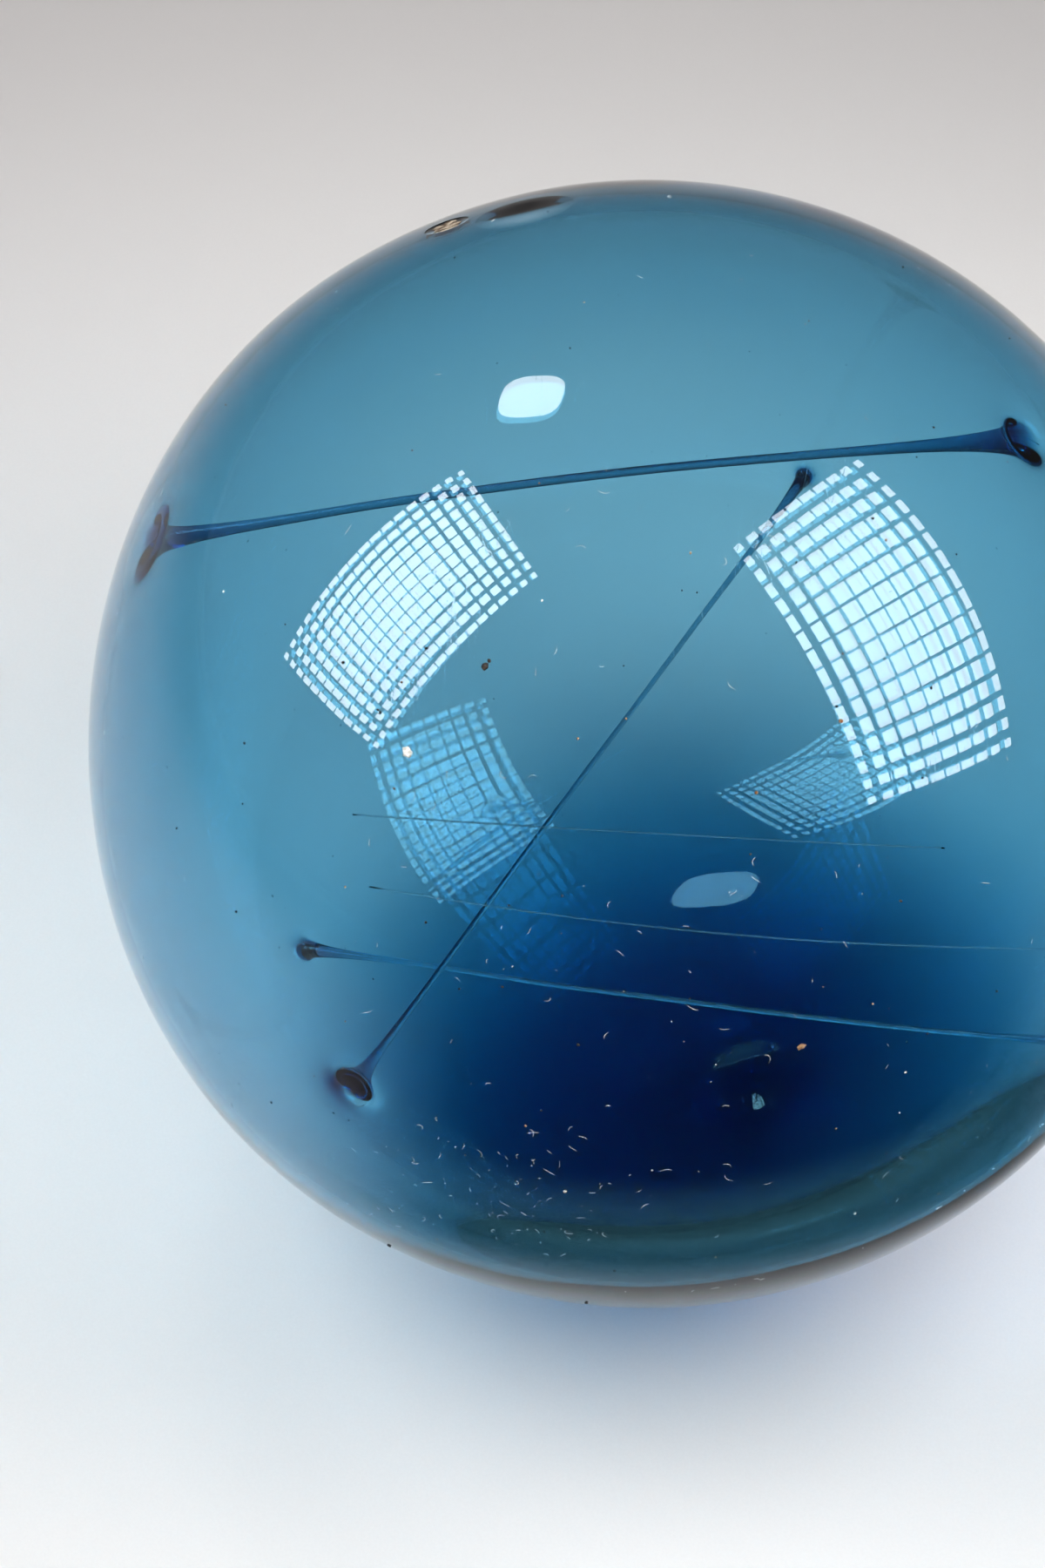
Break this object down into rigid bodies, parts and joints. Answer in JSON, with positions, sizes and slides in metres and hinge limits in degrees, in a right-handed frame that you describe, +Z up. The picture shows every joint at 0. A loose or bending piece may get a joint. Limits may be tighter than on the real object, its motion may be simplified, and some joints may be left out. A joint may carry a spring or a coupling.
{
  "type": "glass fishing float",
  "caption": "Sealed blown glass ball of blue glass with a round seal, glass threads inside and a small worn flat to stand on.",
  "frame": {"origin": "centre of the small flat on the underside that the ball stands on", "axes": "+Z up through the ball, -Y towards the side it is usually seen from, -X towards its flattened side"},
  "size_m": [0.1493, 0.15, 0.1495],
  "materials": {
    "blue_glass": "smooth blown glass, see-through, with fine scratches and dust"
  },
  "bodies": {
    "root": {"glass_ball": "blue_glass"}
  },
  "joints": []
}
